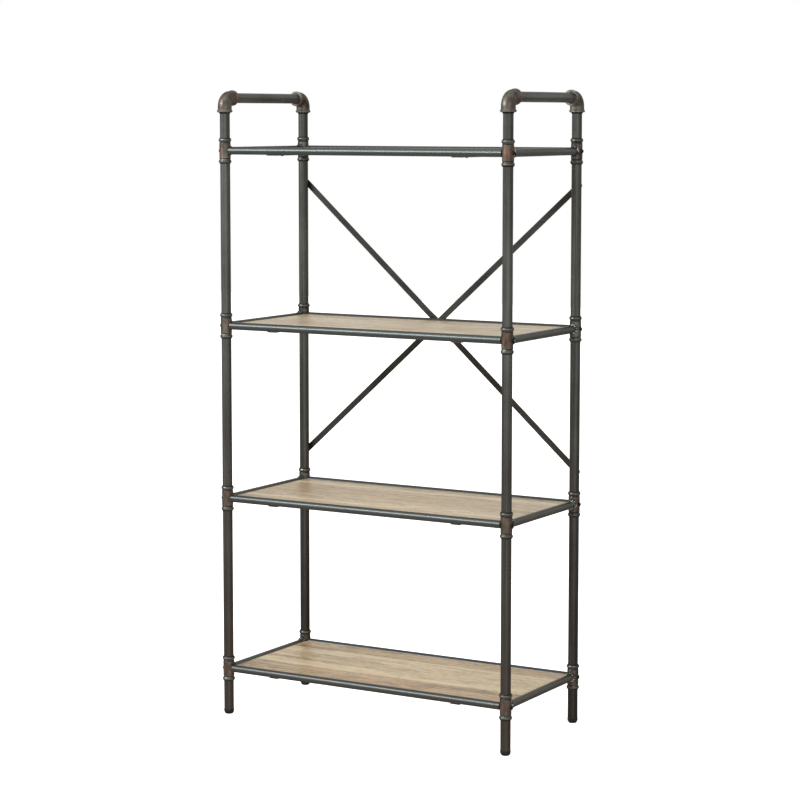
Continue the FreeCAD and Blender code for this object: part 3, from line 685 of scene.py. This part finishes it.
WELD_STAND_OFF = 0.4 * MM
WELD_AHEAD = 3.6 * MM
WELD_RADIUS = 4.2 * MM
WELD_INNER_SHARE = 0.72
WELD_RIPPLES = 20
SAMPLES_PER_RIPPLE = 5
WELD_SIDES = 10
RIPPLE_SWELL = (0.86, 1.14)
RIPPLE_HOLLOW = 0.84
RIPPLE_RISE = 0.22
NEXT_ANGLE = 0.01
WELD_SEED = 7

# Tones of the weld, under lacquer and bare, and the share of bare spots at two places across. The
# lacquered tone is dark partly as painted shade of the gap where the rail's end meets the sleeve, and the
# share of bare spots falls on the left as painted shade, so that no glints show there.
WELD_COVERED_AND_SHADE = (0.045, 0.038, 0.033)
WELD_BARE = (0.62, 0.61, 0.57)
BARE_SPAN = (0.50, 0.58)
BARE_WITH_LEFT_SHADE = (-0.1, 0.1, 0.2, 1.0)

# The weld's pattern in repeats a metre, the depth of its skin, and its roughness
WELD_CLOUDS = 210.0
WELD_DEPTH = 0.5 * MM
WELD_STRENGTH = 0.7
WELD_GLOSS = (0.34, 0.16)


def weld_point(radius, angle, x, y, z, way):
    """On the coupling's sleeve, at a distance from the rail's axis."""
    across = radius * math.cos(angle)
    reach = math.sqrt(sleeve_radius ** 2 - across ** 2)
    return Vector((x + across, y + way * (reach + WELD_AHEAD), z + radius * math.sin(angle)))


def add_ring_tube(mesh, rings):
    """Skin closed rings of points into a closed loop of quads."""
    made = [[mesh.verts.new(point) for point in ring] for ring in rings]
    for index, ring in enumerate(made):
        following = made[(index + 1) % len(made)]
        for side in range(len(ring)):
            nxt = (side + 1) % len(ring)
            mesh.faces.new((ring[side], ring[nxt], following[nxt], following[side]))


def weld_ring(step, swell, x, y, z, way):
    """The bead's section at one step round the rail, thinner on the shelf's inner side."""
    radius = rail_radius + WELD_STAND_OFF
    angle = 2 * math.pi * step / (WELD_RIPPLES * SAMPLES_PER_RIPPLE)
    centre = weld_point(radius, angle, x, y, z, way)
    ahead = weld_point(radius, angle + NEXT_ANGLE, x, y, z, way)
    along = (ahead - centre).normalized()
    out = Vector((math.cos(angle), 0, math.sin(angle)))
    out = (out - along * out.dot(along)).normalized()
    side = along.cross(out)
    phase = (step % SAMPLES_PER_RIPPLE) / SAMPLES_PER_RIPPLE
    section = WELD_RADIUS * swell * (RIPPLE_HOLLOW + RIPPLE_RISE * math.sin(math.pi * phase))
    outward = 0.5 + 0.5 * math.cos(angle) * math.copysign(1, x)
    section *= WELD_INNER_SHARE + (1 - WELD_INNER_SHARE) * outward
    turns = [2 * math.pi * k / WELD_SIDES for k in range(WELD_SIDES)]
    return [centre + (out * math.cos(turn) + side * math.sin(turn)) * section for turn in turns]


def make_weld(name, x, y, z, way, rng, material):
    swell = [rng.uniform(*RIPPLE_SWELL) for _ in range(WELD_RIPPLES)]
    mesh = bmesh.new()
    add_ring_tube(mesh, [
        weld_ring(step, swell[step // SAMPLES_PER_RIPPLE], x, y, z, way)
        for step in range(WELD_RIPPLES * SAMPLES_PER_RIPPLE)])
    bmesh.ops.recalc_face_normals(mesh, faces=mesh.faces)
    data = bpy.data.meshes.new(name)
    mesh.to_mesh(data)
    mesh.free()
    for face in data.polygons:
        face.use_smooth = True
    piece = bpy.data.objects.new(name, data)
    bpy.context.scene.collection.objects.link(piece)
    piece.data.materials.append(material)
    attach(piece, "root")


def weld_metal():
    """Bare in spots, mostly on the right: on the left, painted shade takes most bare spots away, so that
    those welds show no glints.
    """
    graph = Finish("weld", metallic=0.85, roughness=0.27)
    clouds = graph.noise(graph.place, WELD_CLOUDS, detail=3.0)
    spots = graph.range(clouds, *BARE_SPAN)
    bare_with_left_shade = graph.math("MULTIPLY", spots, graph.range(graph.x, *BARE_WITH_LEFT_SHADE))
    tone = graph.mix(bare_with_left_shade, WELD_COVERED_AND_SHADE, WELD_BARE)
    skin = graph.bump(clouds, WELD_DEPTH, WELD_STRENGTH)
    return graph.finish(tone, graph.spread(clouds, *WELD_GLOSS), skin)


def make_welds():
    material = weld_metal()
    rng = random.Random(WELD_SEED)
    for level, height in enumerate(shelf_heights):
        for side, x in (("left", -post_x), ("right", post_x)):
            for row, y, way in (("front", -post_y, 1), ("rear", post_y, -1)):
                name = "weld_%s_%s_%d" % (row, side, level + 1)
                make_weld(name, x, y, height, way, rng, material)


make_welds()


# Stage: plain pale floor and soft studio light

FLOOR_REACH = 12
FLOOR_TONES = ((0.93, 0.93, 0.93), (0.95, 0.95, 0.95))
FLOOR_GLOW = 0.9
FLOOR_CLOUDS = 3.0

# Name, place, target, width and height, power and colour of each light
LIGHTS = (
    ("key", (-2.4, -3.6, 3.1), (0, 0, 0.9), (2.6, 1.3), 145, (0.87, 0.97, 1.0)),
    ("top", (-0.4, -0.8, 3.6), (0, 0, 0.8), (2.4, 2.4), 14, (1, 1, 1)),
)


def make_floor():
    mesh = bmesh.new()
    corners = ((-1, -1), (1, -1), (1, 1), (-1, 1))
    mesh.faces.new([mesh.verts.new((x * FLOOR_REACH, y * FLOOR_REACH, 0)) for x, y in corners])
    data = bpy.data.meshes.new("floor")
    mesh.to_mesh(data)
    mesh.free()
    floor = bpy.data.objects.new("floor", data)
    bpy.context.scene.collection.objects.link(floor)
    graph = Finish("floor", roughness=0.9)
    graph.shader.inputs["Emission Color"].default_value = (1, 1, 1, 1)
    graph.shader.inputs["Emission Strength"].default_value = FLOOR_GLOW
    clouds = graph.noise(graph.place, FLOOR_CLOUDS, detail=3.0)
    floor.data.materials.append(graph.finish(graph.mix(clouds, *FLOOR_TONES)))
    floor.visible_glossy = False


def add_light(name, place, target, size, power, colour):
    data = bpy.data.lights.new(name, "AREA")
    data.shape = "RECTANGLE"
    data.size, data.size_y = size
    data.energy = power
    data.color = colour
    light = bpy.data.objects.new(name, data)
    light.location = place
    light.rotation_euler = (Vector(target) - Vector(place)).to_track_quat("-Z", "Y").to_euler()
    bpy.context.scene.collection.objects.link(light)


# What the object reflects: tones from straight down (0) over the horizon (0.5) to straight up (1)
STUDIO_TONES = [
    (0.00, (0.125, 0.090, 0.074)),
    (0.36, (0.200, 0.142, 0.118)),
    (0.45, (0.250, 0.213, 0.188)),
    (0.51, (0.60, 0.60, 0.585)),
    (0.60, (0.76, 0.78, 0.77)),
    (0.80, (0.56, 0.58, 0.58)),
    (1.00, (0.46, 0.48, 0.48)),
]

# Ways in which the studio differs: the way, how near it the change starts and is full
# (0 at right angles, 1 at the way itself), and the share or light there
DIM_WAY = (0.97, 0.24, 0.0)
DIM_SPAN = (0.3, 0.9)
DIM_SHARE = 0.58
FRONT_WAY = (0.748, -0.663, 0.0)
FRONT_SPAN = (0.80, 0.95)
FRONT_SHARE = 2.5
BACKDROP_WAY = (-0.45, 0.88, 0.10)
BACKDROP_SPAN = (0.6, 0.95)
BACKDROP_LIGHT = 0.32


def make_world():
    """White where the camera sees it. The object is in a studio, dim below and to the right."""
    world = bpy.data.worlds.new("studio")
    world.use_nodes = True
    graph = Graph(world.node_tree)
    way = graph.add("TexCoord").outputs["Generated"]

    def near(other_way, span, away, at):
        """The value at where the way is close to the other way, and the value away elsewhere."""
        closeness = graph.add("VectorMath", {0: way, 1: other_way}, operation="DOT_PRODUCT")
        return graph.range(closeness.outputs["Value"], *span, away, at)

    height = graph.split(way)["Z"]
    studio = graph.ramp(graph.math("MULTIPLY_ADD", height, 0.5, 0.5), STUDIO_TONES)
    studio = graph.mix(1.0, studio, near(DIM_WAY, DIM_SPAN, 1.0, DIM_SHARE), "MULTIPLY")
    studio = graph.mix(1.0, studio, near(FRONT_WAY, FRONT_SPAN, 1.0, FRONT_SHARE), "MULTIPLY")
    studio = graph.mix(1.0, studio, near(BACKDROP_WAY, BACKDROP_SPAN, 0.0, BACKDROP_LIGHT), "ADD")
    seen = graph.add("LightPath").outputs["Is Camera Ray"]
    background = world.node_tree.nodes["Background"]
    graph.feed(background.inputs["Color"], graph.mix(seen, studio, (1.0, 1.0, 1.0)))
    bpy.context.scene.world = world


make_floor()
for light in LIGHTS:
    add_light(*light)
make_world()
bpy.context.scene.view_settings.view_transform = "Standard"
